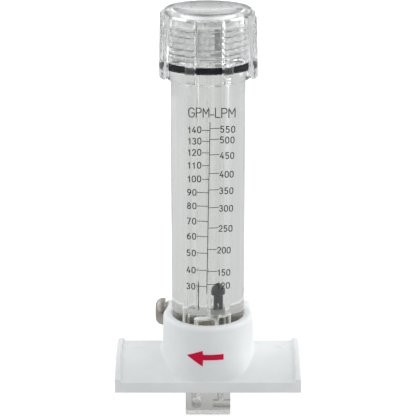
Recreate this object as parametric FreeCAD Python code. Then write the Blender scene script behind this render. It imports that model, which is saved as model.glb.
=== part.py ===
import FreeCAD, Part
import math, os
from FreeCAD import Vector as V

# Insertion flow meter (pitot-tube rotameter) that straps on a nominal 2 in pipe.
# Origin: crown of the saddle's concave underside, on the axis of the clear body.
# +Z up along the body, X along the pipe (flow runs towards -X), -Y is the reading side.
# Heights below are taken from a datum plane 3.55 above that crown; save() moves
# every piece up by the same amount, so that the crown is at z = 0.

# ---------------------------------------------------------------- saddle
PIPE_R = 30.2          # outside radius of the pipe the saddle sits on
CROWN_Z = -3.55        # the crown, from the datum plane of the heights below
AXIS_Z = CROWN_Z - PIPE_R
PLATE_T = 3.48         # shell thickness
PLATE_HX = 40.6        # half length along the pipe
PLATE_HY = 21.75       # half width across the pipe
LIP_W = 2.5            # raised strap lips at both ends
LIP_H = 1.1
LIP_FILLET = 0.9
RIM_Z = 16.5           # top of the collar
COLLAR_R_TOP = 19.75
COLLAR_R_BASE = 20.35
COLLAR_FILLET = 1.9
COLLAR_FOOT_FILLET = 1.1
# the round collar squares off towards its foot: height, half widths, squareness
COLLAR_SECTIONS = ((-9.5, 20.40, 21.55, 3.9), (-6.0, 20.38, 21.20, 3.35), (-2.5, 20.36, 20.80, 2.75),
                   (1.5, 20.30, 20.42, 2.25), (5.5, 20.15, 20.17, 2.03))
SOCKET_R = 15.95
FLOOR_Z = 2.8
SLOT_HX = 10.35        # opening for the stem
SLOT_HY = 4.8
MARK_R = 2.3           # shallow ejector marks
MARK_DEPTH = 0.15
MARK_X = 30.7
MARK_Y = -2.9

# rear boss for the cross screw
BOSS_HX = 19.3
BOSS_ROUND = 5.2       # its back is rounded about the screw's axis
BOSS_TOP = 15.0
BOSS_END_TOP = 12.5
BOSS_SHOULDER = (17.9, 14.35)
BOSS_FLAT_HX = 15.8
BOSS_BOTTOM = -11.8
SCREW_Y = 17.2
SCREW_Z = 9.8
BOSS_Y1 = SCREW_Y + BOSS_ROUND
SCREW_HOLE_R = 3.2
SCREW_R = 2.98         # M6
SCREW_HEAD_R = 6.1
SCREW_HEAD_H = 4.5
SCREW_BAND = 1.7
SCREW_TIP_X = 18.2
NUT_AF = 10.0
NUT_X0 = 10.9
NUT_T = 4.9
NUT_GAP = 0.15

# ---------------------------------------------------------------- clear body
BODY_R = 15.875        # 1 1/4 in rod
BODY_Z0 = 6.0
FLANGE_R = 18.2
FLANGE_Z0 = 122.2
FLANGE_CHAMFER = 1.0
FLANGE_Z1 = 127.55
NECK_R = 14.5
NECK_RELIEF_R = 13.4
NECK_TOP = 146.2
BORE_X = 2.9           # tapered metering bore
BORE_Z0 = 16.5
BORE_R0 = 3.42
BORE_R1 = 4.25
RETURN_X = -4.6        # straight return bore
RETURN_R = 2.4
RETURN_Z0 = 19.7
IMPACT_X = 5.6         # passages between the stem and the bores
IMPACT_R = 1.2
STATIC_X = -6.4
STATIC_R = 1.1
GROOVE_R = 3.2         # cross-screw groove in the back of the body

# knurled insert and stud that hold the stem to the body
INSERT_X = -0.4
INSERT_Z0 = 6.3
INSERT_R = 3.7
INSERT_KNURL = 0.22
INSERT_TEETH = 34
INSERT_TOP = 15.35
INSERT_BORE = 2.02
STUD_R = 1.96
STUD_Z0 = -4.0
STUD_Z1 = 14.4

# ---------------------------------------------------------------- stem
STEM_FLANGE_R = 15.6
STEM_HX = 10.05
STEM_HY = 4.5
STEM_Z0 = -31.5
STEM_CHAMFER = 0.9
STEM_EDGE = 0.35
PORT_Z = -27.2         # impact port, faces upstream (+X)
PORT_R = 1.95
PORT_X0 = 2.2
STATIC_PORT_X = -5.1   # static port, faces the reader (-Y)
STATIC_PORT_Z = -26.1
STATIC_PORT_R = 2.2
STATIC_PORT_Y1 = 1.2

# seals
RING_GROOVE = 0.85
SEAL_R = 13.9          # stem flange to saddle floor
SEAL_CORD = 1.0
SEAL_DEPTH = 1.6
GASKET_R0 = 15.7
GASKET_R1 = 19.5
GASKET_T = 1.2

# float and its stops
FLOAT_Z0 = 19.8
FLOAT_LEG_TOP = 26.5
FLOAT_TOP = 31.4
FLOAT_LEG_R = 2.15
FLOAT_HEAD_R = 3.1
SEAT_Z0 = 17.9
SEAT_Z1 = 19.7
SEAT_BORE = 1.9
STOP_R = 5.4
STOP_T = 2.6
STOP_PIN_R = 1.5
STOP_PIN_Z0 = 130.5

# ---------------------------------------------------------------- cap
CAP_SKIRT_R = 18.9     # at its foot; the skirt and ribs are drafted
CAP_SKIRT_TOP_R = 18.4
CAP_Z0 = 130.68
CAP_TOP = 152.2
CAP_CEIL = 149.6
CAP_BORE = 14.8
CAP_DISC_R = 17.9
RIB_N = 8
RIB_R = 21.75          # at its foot
RIB_TOP_R = 21.2
RIB_R0 = 18.6
RIB_W = 4.4
RIB_Z0 = 123.75
RIB_ANGLE0 = 1.5 - 22.5
CAP_RING_R = 16.7
CAP_RING_CORD = 1.54

os.makedirs("parts", exist_ok=True)


def cyl(r, z0, z1, x=0.0, y=0.0):
    return Part.makeCylinder(r, z1 - z0, V(x, y, z0), V(0, 0, 1))


def cyl_x(r, x0, x1, y, z):
    return Part.makeCylinder(r, x1 - x0, V(x0, y, z), V(1, 0, 0))


def cyl_y(r, y0, y1, x, z):
    return Part.makeCylinder(r, y1 - y0, V(x, y0, z), V(0, 1, 0))


def box(x0, x1, y0, y1, z0, z1):
    return Part.makeBox(x1 - x0, y1 - y0, z1 - z0, V(x0, y0, z0))


def wire_face(items):
    return Part.Face(Part.Wire(items))


def rz(points, x=0.0, y=0.0):
    """Revolve a closed (r, z) outline about a vertical axis; an item with three
    points is an arc from the previous point through the second to the third."""
    edges = []
    first = None
    prev = None
    for p in points:
        if len(p) == 4:
            a = V(p[0], 0, p[1])
            b = V(p[2], 0, p[3])
            edges.append(Part.Arc(prev, a, b).toShape())
            prev = b
        else:
            q = V(p[0], 0, p[1])
            if prev is not None:
                edges.append(Part.makeLine(prev, q))
            else:
                first = q
            prev = q
    if (prev - first).Length > 1e-7:
        edges.append(Part.makeLine(prev, first))
    s = wire_face(edges).revolve(V(0, 0, 0), V(0, 0, 1), 360)
    s.translate(V(x, y, 0))
    return s


def arc_pts(cr, cz, r, a):
    t = math.radians(a)
    return cr + r * math.cos(t), cz + r * math.sin(t)


def one(shape):
    s = shape.removeSplitter()
    if s.ShapeType != "Solid" and len(s.Solids) == 1:
        s = s.Solids[0]
    return s


def save(name, shape):
    s = one(shape)
    s.translate(V(0, 0, -CROWN_Z))
    if not s.isValid() or len(s.Solids) < 1:
        raise RuntimeError(name + " is not a valid solid")
    if s.Volume < 1 or s.Volume > 2e5:
        raise RuntimeError(name + " has a wrong volume")
    s.exportStep("parts/" + name + ".step")
    print(name, "solids", len(s.Solids), "volume", round(s.Volume, 2))
    return s


def pick_edges(shape, test):
    out = []
    for e in shape.Edges:
        bb = e.BoundBox
        if test(e, bb):
            out.append(e)
    return out


def oval_wire(z, ax, ay, n, m=48):
    """Closed smooth curve |x/ax|^n + |y/ay|^n = 1 at height z; its seam is on the rear right diagonal."""
    pts = []
    for i in range(m):
        t = math.pi / 4 + 2 * math.pi * i / m
        c, s = math.cos(t), math.sin(t)
        r = (abs(c / ax) ** n + abs(s / ay) ** n) ** (-1.0 / n)
        pts.append(V(r * c, r * s, z))
    b = Part.BSplineCurve()
    b.interpolate(Points=pts, PeriodicFlag=True)
    return Part.Wire(b.toShape())


# ================================================================ saddle
def make_saddle():
    axis = V(0, 0, AXIS_Z)
    ro = PIPE_R + PLATE_T
    rl = ro + LIP_H
    xi = PLATE_HX - LIP_W

    def pt(x, r):
        return V(x, 0, r + AXIS_Z)

    k = math.sqrt(0.5)
    f = LIP_FILLET
    e = 0.5
    edges = []
    seq = [("p", -PLATE_HX, PIPE_R), ("p", PLATE_HX, PIPE_R), ("p", PLATE_HX, rl - e),
           ("a", PLATE_HX - e + e * k, rl - e + e * k, PLATE_HX - e, rl),
           ("p", xi + e, rl), ("a", xi + e - e * k, rl - e + e * k, xi, rl - e),
           ("p", xi, ro + 0.55),
           ("a", xi - 0.55 + 0.55 * k, ro + 0.55 - 0.55 * k, xi - 0.55, ro),
           ("p", -xi + 0.55, ro),
           ("a", -xi + 0.55 - 0.55 * k, ro + 0.55 - 0.55 * k, -xi, ro + 0.55),
           ("p", -xi, rl - e), ("a", -xi - e + e * k, rl - e + e * k, -xi - e, rl),
           ("p", -PLATE_HX + e, rl),
           ("a", -PLATE_HX + e - e * k, rl - e + e * k, -PLATE_HX, rl - e),
           ("p", -PLATE_HX, PIPE_R)]
    prev = None
    for s in seq:
        if s[0] == "p":
            q = pt(s[1], s[2])
            if prev is not None and (q - prev).Length > 1e-6:
                edges.append(Part.makeLine(prev, q))
            prev = q
        else:
            b = pt(s[3], s[4])
            edges.append(Part.Arc(prev, pt(s[1], s[2]), b).toShape())
            prev = b
    plate = wire_face(edges).revolve(axis, V(1, 0, 0), 360)
    plate = plate.common(box(-60, 60, -PLATE_HY, PLATE_HY, -24, 20))

    pipe = cyl_x(PIPE_R, -60, 60, 0, AXIS_Z)
    # tapered collar with a rounded rim
    slope = (COLLAR_R_BASE - COLLAR_R_TOP) / RIM_Z
    wires = [oval_wire(*sec) for sec in COLLAR_SECTIONS]
    for z in (9.5, 13.0, RIM_Z):
        r = COLLAR_R_TOP + slope * (RIM_Z - z)
        wires.append(oval_wire(z, r, r, 2.0))
    collar = Part.makeLoft(wires, True, False)
    collar = collar.makeFillet(COLLAR_FILLET, pick_edges(collar, lambda e, b: b.ZMin > RIM_Z - 0.01 and b.XMax > 5))
    collar = collar.cut(pipe)
    base = plate.fuse(collar).removeSplitter()
    foot = pick_edges(base, lambda e, b: b.ZMax < CROWN_Z + PLATE_T + 1.0 and b.ZMin > -12
                      and max(abs(b.XMin), abs(b.XMax)) < COLLAR_R_BASE + 1.5
                      and max(abs(b.YMin), abs(b.YMax)) < COLLAR_R_BASE + 1.5
                      and (abs(b.XMax - b.XMin) > 5 or abs(b.YMax - b.YMin) > 5)
                      and e.Length > 10 and all(
                          math.hypot(v.Point.x, v.Point.y) > COLLAR_R_TOP for v in e.Vertexes)
                      and not all(abs(math.hypot(v.Point.y, v.Point.z - AXIS_Z) - PIPE_R) < 1e-4
                                  for v in e.Vertexes))
    if foot:
        try:
            g = base.makeFillet(COLLAR_FOOT_FILLET, foot)
            if g.isValid() and g.Volume > base.Volume:
                base = g
                print("foot fillet made on", len(foot), "edges")
            else:
                print("foot fillet rejected")
        except Exception as ex:
            print("foot fillet failed", ex)
    # rear boss
    bb = BOSS_BOTTOM
    sx, sz = BOSS_SHOULDER
    pts = [V(-BOSS_HX, 8, bb), V(-BOSS_HX, 8, BOSS_END_TOP), V(-sx, 8, sz), V(-BOSS_FLAT_HX, 8, BOSS_TOP),
           V(BOSS_FLAT_HX, 8, BOSS_TOP), V(sx, 8, sz), V(BOSS_HX, 8, BOSS_END_TOP), V(BOSS_HX, 8, bb),
           V(-BOSS_HX, 8, bb)]
    boss = Part.Face(Part.makePolygon(pts)).extrude(V(0, BOSS_Y1 - 8, 0))
    ve = pick_edges(boss, lambda e, b: b.YMin > BOSS_Y1 - 0.01 and abs(abs(b.XMin) - BOSS_HX) < 0.01
                    and b.XMax - b.XMin < 0.01)
    boss = boss.makeFillet(2.2, ve)
    q = [V(-30, 8, bb), V(-30, 8, BOSS_TOP), V(-30, SCREW_Y, BOSS_TOP), V(-30, BOSS_Y1, SCREW_Z),
         V(-30, BOSS_Y1, bb)]
    km = math.sqrt(0.5)
    side = wire_face([Part.makeLine(q[0], q[1]), Part.makeLine(q[1], q[2]),
                      Part.Arc(q[2], V(-30, SCREW_Y + BOSS_ROUND * km, SCREW_Z + BOSS_ROUND * km), q[3]).toShape(),
                      Part.makeLine(q[3], q[4]), Part.makeLine(q[4], q[0])])
    boss = boss.common(side.extrude(V(60, 0, 0)))
    boss = boss.cut(pipe)
    s = base.fuse(boss)
    # socket for the body, opening for the stem
    s = s.cut(cyl(SOCKET_R, FLOOR_Z, 40))
    s = s.cut(rz([(0, RIM_Z - 0.5), (SOCKET_R, RIM_Z - 0.5), (SOCKET_R + 0.6, RIM_Z + 0.1),
                  (0, RIM_Z + 0.1)]))
    slot = box(-SLOT_HX, SLOT_HX, -SLOT_HY, SLOT_HY, -12, 12)
    slot = slot.makeFillet(0.8, pick_edges(slot, lambda e, b: b.ZMax - b.ZMin > 5))
    s = s.cut(slot)
    # seal groove in the floor and gasket recess underneath
    s = s.cut(cyl(SEAL_R + 1.15, FLOOR_Z - SEAL_DEPTH, FLOOR_Z + 1).cut(
        cyl(SEAL_R - 1.15, FLOOR_Z - SEAL_DEPTH - 1, FLOOR_Z + 2)))
    ring = cyl(GASKET_R1 + 0.1, -30, 20).cut(cyl(GASKET_R0 - 0.1, -31, 21))
    ring = ring.common(cyl_x(PIPE_R + GASKET_T, -60, 60, 0, AXIS_Z))
    s = s.cut(ring.common(box(-30, 30, -30, 30, -20, 10)))
    # cross screw hole, nut pocket
    s = s.cut(cyl_x(SCREW_HOLE_R, -BOSS_HX - 1, SCREW_TIP_X + 0.3, SCREW_Y, SCREW_Z))
    hn = NUT_AF / 2 + 0.1
    low = SCREW_Z - NUT_AF / math.sqrt(3) - 0.15
    # the pocket is open above and behind
    s = s.cut(box(NUT_X0 - NUT_GAP, NUT_X0 + NUT_T + NUT_GAP, SCREW_Y - hn, BOSS_Y1 + 2, low, 25))
    # ejector marks on the plate
    for sx in (-1, 1):
        m = cyl(MARK_R, -8, 6, sx * MARK_X, MARK_Y)
        shell = cyl_x(ro + 5, -60, 60, 0, AXIS_Z).cut(cyl_x(ro - MARK_DEPTH, -60, 60, 0, AXIS_Z))
        s = s.cut(m.common(shell))
    return s


# ================================================================ clear body
def make_body():
    ft = FLANGE_Z0 + FLANGE_CHAMFER
    pts = [(0, BODY_Z0), (BODY_R - 0.3, BODY_Z0), (BODY_R, BODY_Z0 + 0.3), (BODY_R, FLANGE_Z0),
           (FLANGE_R - 0.5, ft - 0.15),
           (FLANGE_R - 0.5 + 0.5 * 0.7071, ft + 0.35 - 0.5 * 0.7071, FLANGE_R, ft + 0.35),
           (FLANGE_R, FLANGE_Z1 - 0.4), (FLANGE_R - 0.4, FLANGE_Z1),
           (NECK_RELIEF_R, FLANGE_Z1), (NECK_RELIEF_R, FLANGE_Z1 + 2.6), (NECK_R, FLANGE_Z1 + 3.7),
           (NECK_R, NECK_TOP - 1.0), (NECK_R - 1.0, NECK_TOP), (0, NECK_TOP)]
    b = rz(pts)
    bore = Part.makeCone(BORE_R0, BORE_R1, NECK_TOP + 1 - BORE_Z0, V(BORE_X, 0, BORE_Z0), V(0, 0, 1))
    b = b.cut(bore)
    b = b.cut(cyl(STOP_R + 0.02, NECK_TOP - STOP_T - 0.02, NECK_TOP + 1, BORE_X))
    ret = cyl(RETURN_R, RETURN_Z0, NECK_TOP + 1, RETURN_X)
    b = b.cut(ret)
    b = b.cut(cyl(IMPACT_R, BODY_Z0 - 1, BORE_Z0 + 0.5, IMPACT_X))
    b = b.cut(cyl(STATIC_R, BODY_Z0 - 1, RETURN_Z0 + 0.5, STATIC_X))
    b = b.cut(cyl(INSERT_R + 0.02, BODY_Z0 - 1, INSERT_TOP + 0.15, INSERT_X))
    b = b.cut(cyl_x(GROOVE_R, -30, 30, SCREW_Y, SCREW_Z))
    return b


# ================================================================ stem
def make_stem():
    fl = rz([(0, FLOOR_Z), (STEM_FLANGE_R - 0.3, FLOOR_Z), (STEM_FLANGE_R, FLOOR_Z + 0.3),
             (STEM_FLANGE_R, BODY_Z0 - 0.3), (STEM_FLANGE_R - 0.3, BODY_Z0), (0, BODY_Z0)])
    bl = box(-STEM_HX, STEM_HX, -STEM_HY, STEM_HY, STEM_Z0, FLOOR_Z + 0.5)
    bl = bl.makeFillet(STEM_EDGE, pick_edges(bl, lambda e, b: b.ZMax - b.ZMin > 10))
    bot = pick_edges(bl, lambda e, b: b.ZMax < STEM_Z0 + 0.01)
    bl = bl.makeChamfer(0.3, bot)
    s = fl.fuse(bl)
    s = s.cut(cyl(1.3, PORT_Z, BODY_Z0 + 1, IMPACT_X))
    s = s.cut(cyl(1.15, STATIC_PORT_Z, BODY_Z0 + 1, STATIC_X))
    s = s.cut(cyl_x(PORT_R, PORT_X0, STEM_HX + 1, 0, PORT_Z))
    s = s.cut(cyl_y(STATIC_PORT_R, -STEM_HY - 1, STATIC_PORT_Y1, STATIC_PORT_X, STATIC_PORT_Z))
    s = s.cut(cyl(STUD_R + 0.04, STUD_Z0 - 0.2, BODY_Z0 + 1, INSERT_X))
    for x in (IMPACT_X, STATIC_X):
        s = s.cut(cyl(2.52, BODY_Z0 - RING_GROOVE, BODY_Z0 + 1, x))
    return s


def small_ring(x):
    # squeezed cord that fills its counterbore
    z0 = BODY_Z0 - RING_GROOVE
    h = RING_GROOVE / 2
    cr = 1.97
    mx = 0.53
    return rz([(cr - 0.25, z0), (cr + 0.25, z0), (cr + mx, z0 + h, cr + 0.25, z0 + 2 * h),
               (cr - 0.25, z0 + 2 * h), (cr - mx, z0 + h, cr - 0.25, z0)], x=x)


def seal_ring():
    z0 = FLOOR_Z - SEAL_DEPTH
    h = SEAL_DEPTH / 2
    return rz([(SEAL_R - 0.5, z0), (SEAL_R + 0.5, z0), (SEAL_R + 1.1, z0 + h, SEAL_R + 0.5, z0 + 2 * h),
               (SEAL_R - 0.5, z0 + 2 * h), (SEAL_R - 1.1, z0 + h, SEAL_R - 0.5, z0)])


def gasket():
    ring = cyl(GASKET_R1, -30, 20).cut(cyl(GASKET_R0, -31, 21))
    ring = ring.common(box(-30, 30, -30, 30, -20, 10))
    shell = cyl_x(PIPE_R + GASKET_T, -60, 60, 0, AXIS_Z).cut(cyl_x(PIPE_R, -61, 61, 0, AXIS_Z))
    return ring.common(shell)


# ================================================================ insert, stud
def insert():
    pts = []
    for i in range(INSERT_TEETH * 2):
        a = math.pi * i / INSERT_TEETH
        r = INSERT_R if i % 2 == 0 else INSERT_R - INSERT_KNURL
        pts.append(V(r * math.cos(a), r * math.sin(a), INSERT_Z0))
    pts.append(pts[0])
    g = Part.Face(Part.makePolygon(pts)).extrude(V(0, 0, INSERT_TOP - INSERT_Z0))
    env = rz([(0, INSERT_Z0), (INSERT_R - 0.3, INSERT_Z0), (INSERT_R + 0.1, INSERT_Z0 + 0.5),
              (INSERT_R + 0.1, INSERT_TOP - 0.8), (INSERT_R - 0.5, INSERT_TOP), (0, INSERT_TOP)])
    g = g.common(env)
    # plain waist between the two knurled bands
    waist = cyl(INSERT_R + 1, 9.3, 10.1).cut(cyl(INSERT_R - 0.45, 9.2, 10.2))
    g = g.cut(waist)
    g = g.cut(cyl(INSERT_BORE, BODY_Z0 - 1, INSERT_TOP + 1))
    g.translate(V(INSERT_X, 0, 0))
    return g


def stud():
    return rz([(0, STUD_Z0), (STUD_R - 0.4, STUD_Z0), (STUD_R, STUD_Z0 + 0.4),
               (STUD_R, STUD_Z1 - 0.4), (STUD_R - 0.4, STUD_Z1), (0, STUD_Z1)], x=INSERT_X)


# ================================================================ cross screw, nut
def cross_screw():
    h = SCREW_HEAD_H
    r = SCREW_HEAD_R
    # outline in (radius, distance from the head's underside along -X)
    bx = SCREW_BAND
    edges = []
    p0 = V(0, 0, h)
    p1 = V(2.6, 0, h)
    mid = V(5.15, 0, 3.55)
    p2 = V(r, 0, bx)
    p3 = V(r, 0, 0.25)
    p4 = V(r - 0.25, 0, 0)
    p5 = V(SCREW_R, 0, 0)
    L = SCREW_TIP_X + BOSS_HX
    p6 = V(SCREW_R, 0, -L + 0.7)
    p7 = V(SCREW_R - 0.7, 0, -L)
    p8 = V(0, 0, -L)
    edges = [Part.makeLine(p0, p1), Part.Arc(p1, mid, p2).toShape(), Part.makeLine(p2, p3),
             Part.makeLine(p3, p4), Part.makeLine(p4, p5), Part.makeLine(p5, p6),
             Part.makeLine(p6, p7), Part.makeLine(p7, p8), Part.makeLine(p8, p0)]
    s = wire_face(edges).revolve(V(0, 0, 0), V(0, 0, 1), 360)
    # cross recess
    for a in (0, 90):
        w = Part.makeBox(6.4, 1.15, 2.3, V(-3.2, -0.575, h - 2.2))
        w = w.makeChamfer(0.9, pick_edges(w, lambda e, b: b.ZMax < h - 2.15 and b.YMax - b.YMin > 1
                                         and b.XMax - b.XMin < 0.01))
        w.rotate(V(0, 0, 0), V(0, 0, 1), a + 20)
        s = s.cut(w)
    # +Z of the outline becomes -X
    s.rotate(V(0, 0, 0), V(0, 1, 0), -90)
    s.translate(V(-BOSS_HX, SCREW_Y, SCREW_Z))
    return s


def nut():
    rc = NUT_AF / math.sqrt(3)
    pts = [V(0, rc * math.sin(math.radians(60 * i)), rc * math.cos(math.radians(60 * i))) for i in range(7)]
    n = Part.Face(Part.makePolygon(pts)).extrude(V(NUT_T, 0, 0))
    cone = Part.makeCylinder(rc - 0.35, NUT_T, V(0, 0, 0), V(1, 0, 0))
    n1 = Part.makeCone(rc - 0.55, rc + 0.45, 1.0 * 0.6, V(0, 0, 0), V(1, 0, 0))
    n2 = Part.makeCylinder(rc + 0.45, NUT_T - 1.2, V(0.6, 0, 0), V(1, 0, 0))
    n3 = Part.makeCone(rc + 0.45, rc - 0.55, 0.6, V(NUT_T - 0.6, 0, 0), V(1, 0, 0))
    n = n.common(n1.fuse(n2).fuse(n3))
    n = n.cut(Part.makeCylinder(SCREW_R + 0.02, NUT_T + 2, V(-1, 0, 0), V(1, 0, 0)))
    n.translate(V(NUT_X0, SCREW_Y, SCREW_Z))
    return n


# ================================================================ float and stops
def float_piece():
    hr = FLOAT_HEAD_R
    zt = FLOAT_TOP
    # (r, z) outline: leg, neck, shallow cone, rim band, domed crown
    s = rz([(0, FLOAT_Z0), (FLOAT_LEG_R - 0.2, FLOAT_Z0), (FLOAT_LEG_R, FLOAT_Z0 + 0.2),
            (FLOAT_LEG_R, FLOAT_LEG_TOP - 0.2), (hr - 0.35, FLOAT_LEG_TOP + 0.15),
            (hr, FLOAT_LEG_TOP + 0.6), (hr, FLOAT_LEG_TOP + 1.9),
            (hr * 0.74, zt - 1.15, 0.9, zt - 0.12), (0.45, zt), (0, zt)], x=BORE_X)
    # crossed slots in the leg
    for dx, dy in ((6.0, 0.85), (0.85, 6.0)):
        s = s.cut(box(BORE_X - dx / 2, BORE_X + dx / 2, -dy / 2, dy / 2, FLOAT_Z0 - 1, FLOAT_Z0 + 3.0))
    return s


def seat():
    ro = BORE_R0 + (BORE_R1 - BORE_R0) * (SEAT_Z0 - BORE_Z0) / (NECK_TOP + 1 - BORE_Z0) - 0.01
    return rz([(SEAT_BORE, SEAT_Z0), (ro, SEAT_Z0), (ro, SEAT_Z1), (SEAT_BORE + 0.45, SEAT_Z1),
               (SEAT_BORE, SEAT_Z1 - 0.45)], x=BORE_X)


def stop():
    z0 = NECK_TOP - STOP_T
    s = cyl(STOP_R, z0, NECK_TOP, BORE_X)
    pin = rz([(0, STOP_PIN_Z0), (STOP_PIN_R - 0.4, STOP_PIN_Z0), (STOP_PIN_R, STOP_PIN_Z0 + 0.4),
              (STOP_PIN_R, z0 + 0.5), (0, z0 + 0.5)], x=BORE_X)
    s = s.fuse(pin)
    for i in range(3):
        a = math.radians(120 * i + 30)
        s = s.cut(cyl(1.0, z0 - 1, NECK_TOP + 1, BORE_X + 2.75 * math.cos(a), 2.75 * math.sin(a)))
    # the return bore passes beside the stop
    s = s.cut(cyl(RETURN_R, z0 - 1, NECK_TOP + 1, RETURN_X))
    return s


# ================================================================ cap
def cap():
    e = 1.3
    k = math.sqrt(0.5)
    shell = rz([(0, CAP_CEIL), (CAP_BORE - 0.8, CAP_CEIL), (CAP_BORE, CAP_CEIL - 0.8),
                (CAP_BORE, CAP_Z0 + 0.9), (CAP_BORE + 0.7, CAP_Z0 + 0.2), (CAP_BORE + 0.7, CAP_Z0),
                (CAP_SKIRT_R - 0.3, CAP_Z0), (CAP_SKIRT_R, CAP_Z0 + 0.3),
                (CAP_SKIRT_TOP_R, CAP_TOP - 1.5), (CAP_DISC_R + 0.2, CAP_TOP - 0.3),
                (CAP_DISC_R - 0.3, CAP_TOP), (0, CAP_TOP)])
    rib_hi = CAP_TOP - 1.9
    ribs = None
    for i in range(RIB_N):
        # outline in the (r, z) plane, extruded across its width
        o = [V(RIB_R0, 0, RIB_Z0 + 1.2), V(RIB_R0, 0, CAP_Z0 + 0.5), V(CAP_BORE + 1.5, 0, CAP_Z0 + 0.5),
             V(CAP_BORE + 1.5, 0, rib_hi), V(RIB_TOP_R - 1.6, 0, rib_hi)]
        edges = []
        for j in range(len(o) - 1):
            edges.append(Part.makeLine(o[j], o[j + 1]))
        # the drafted outer line touches the round at the top and the one at the foot
        ct = (RIB_TOP_R - 1.6, rib_hi - 1.6)
        cb = (RIB_R - 1.3, RIB_Z0 + 1.3)
        dx, dz = ct[0] - cb[0], ct[1] - cb[1]
        dl = math.degrees(math.asin((1.3 - 1.6) / math.hypot(dx, dz)) - math.atan2(dx, dz))

        def on(c, r, a):
            x, z = arc_pts(c[0], c[1], r, a)
            return V(x, 0, z)
        a0 = on(ct, 1.6, dl)
        edges.append(Part.Arc(o[-1], on(ct, 1.6, (90 + dl) / 2), a0).toShape())
        b0 = on(cb, 1.3, dl)
        edges.append(Part.makeLine(a0, b0))
        c0 = V(RIB_R - 1.3, 0, RIB_Z0)
        edges.append(Part.Arc(b0, on(cb, 1.3, (dl - 90) / 2), c0).toShape())
        ci = (RIB_R0 + 1.2, RIB_Z0 + 1.2)
        edges.append(Part.makeLine(c0, on(ci, 1.2, -90)))
        edges.append(Part.Arc(on(ci, 1.2, -90), on(ci, 1.2, -135), o[0]).toShape())
        r = wire_face(edges).extrude(V(0, RIB_W, 0))
        r.translate(V(0, -RIB_W / 2, 0))
        le = pick_edges(r, lambda e_, b: b.XMin > RIB_TOP_R - 0.01 and b.ZMax - b.ZMin > 10)
        for fr in (1.0, 0.7):
            try:
                r2 = r.makeFillet(fr, le)
                if r2.isValid():
                    r = r2
                    break
            except Exception as ex:
                print("rib fillet failed", fr, ex)
        # angle 0 points at the reading side (-Y), positive towards +X
        ang = RIB_ANGLE0 + 45.0 * i
        r.rotate(V(0, 0, 0), V(0, 0, 1), -90.0 + ang)
        ribs = r if ribs is None else ribs.fuse(r)
    c = shell.fuse(ribs)
    # ribs clear the seal and flange underneath
    c = c.cut(cyl(RIB_R0, RIB_Z0 - 2, CAP_Z0))
    return c


def cap_ring():
    z = FLANGE_Z1 + CAP_RING_CORD + 0.01
    t = Part.makeTorus(CAP_RING_R, CAP_RING_CORD, V(0, 0, z), V(0, 0, 1))
    return t


save("saddle", make_saddle())
save("meter_body", make_body())
save("pitot_stem", make_stem())
save("body_insert", insert())
save("stem_stud", stud())
save("impact_seal", small_ring(IMPACT_X))
save("static_seal", small_ring(STATIC_X))
save("stem_seal", seal_ring())
save("pipe_gasket", gasket())
save("retaining_screw", cross_screw())
save("retaining_nut", nut())
save("float_seat", seat())
save("float", float_piece())
save("float_stop", stop())
save("screw_cap", cap())
save("cap_seal", cap_ring())
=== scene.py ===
import math
import bpy
import bmesh
import numpy as np
from mathutils import Matrix, Vector
from mathutils.bvhtree import BVHTree


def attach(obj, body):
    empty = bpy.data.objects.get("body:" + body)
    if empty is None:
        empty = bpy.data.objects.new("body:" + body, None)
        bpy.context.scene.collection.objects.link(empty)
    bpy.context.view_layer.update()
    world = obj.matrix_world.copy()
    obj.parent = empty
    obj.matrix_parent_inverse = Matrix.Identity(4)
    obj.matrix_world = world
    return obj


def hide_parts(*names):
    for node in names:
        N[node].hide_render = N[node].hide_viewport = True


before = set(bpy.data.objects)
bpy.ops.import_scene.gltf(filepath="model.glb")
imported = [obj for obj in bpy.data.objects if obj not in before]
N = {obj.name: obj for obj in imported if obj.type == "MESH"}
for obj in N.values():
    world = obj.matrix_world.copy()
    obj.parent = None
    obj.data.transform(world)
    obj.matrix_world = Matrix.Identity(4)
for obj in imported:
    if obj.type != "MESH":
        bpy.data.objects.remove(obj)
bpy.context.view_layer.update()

S = 0.001            # the tables below are in millimetres
DZ = 3.55            # and their heights are from the datum plane, this far above the crown
SHARP = math.radians(38)

# ---------------------------------------------------------------- dimensions (mm), as in the CAD
BODY_R = 15.875
BODY_Z0 = 6.04
FLANGE_R = 18.2
FLANGE_Z0 = 122.2
FLANGE_Z1 = 127.55
NECK_R = 14.5
NECK_ROOT = 13.45
NECK_RELIEF = 13.3
NECK_TOP = 146.2
BORE_X, BORE_Z0, BORE_R0, BORE_R1 = 2.9, 16.5, 3.42, 4.25
RETURN_X, RETURN_R, RETURN_Z0 = -4.6, 2.4, 19.7
IMPACT_X, IMPACT_R = 5.6, 1.2
STATIC_X, STATIC_R = -6.4, 1.1
INSERT_X, INSERT_R, INSERT_TOP = -0.4, 3.72, 15.5
SCREW_Y, SCREW_Z, GROOVE_R = 17.2, 9.8, 3.2
STOP_R, STOP_T = 5.42, 2.62
PITCH = 2.54
CAP_Z0, CAP_TOP, CAP_CEIL = 130.68, 152.2, 149.6
CAP_BORE, CAP_ROOT = 14.8, 15.12
RIM_Z = 16.5


# ================================================================ mesh helpers
def link(name, verts, faces, smooth=True, angle=SHARP):
    """A mesh object from millimetre vertices."""
    me = bpy.data.meshes.new(name)
    me.from_pydata([(v[0] * S, v[1] * S, (v[2] + DZ) * S) for v in verts], [], [tuple(f) for f in faces])
    me.validate()
    me.update()
    o = bpy.data.objects.new(name, me)
    bpy.context.scene.collection.objects.link(o)
    if smooth:
        shade(o, angle)
    return o


def shade(o, angle=SHARP):
    me = o.data
    me.polygons.foreach_set("use_smooth", [True] * len(me.polygons))
    me.set_sharp_from_angle(angle=angle)
    me.update()


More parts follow.
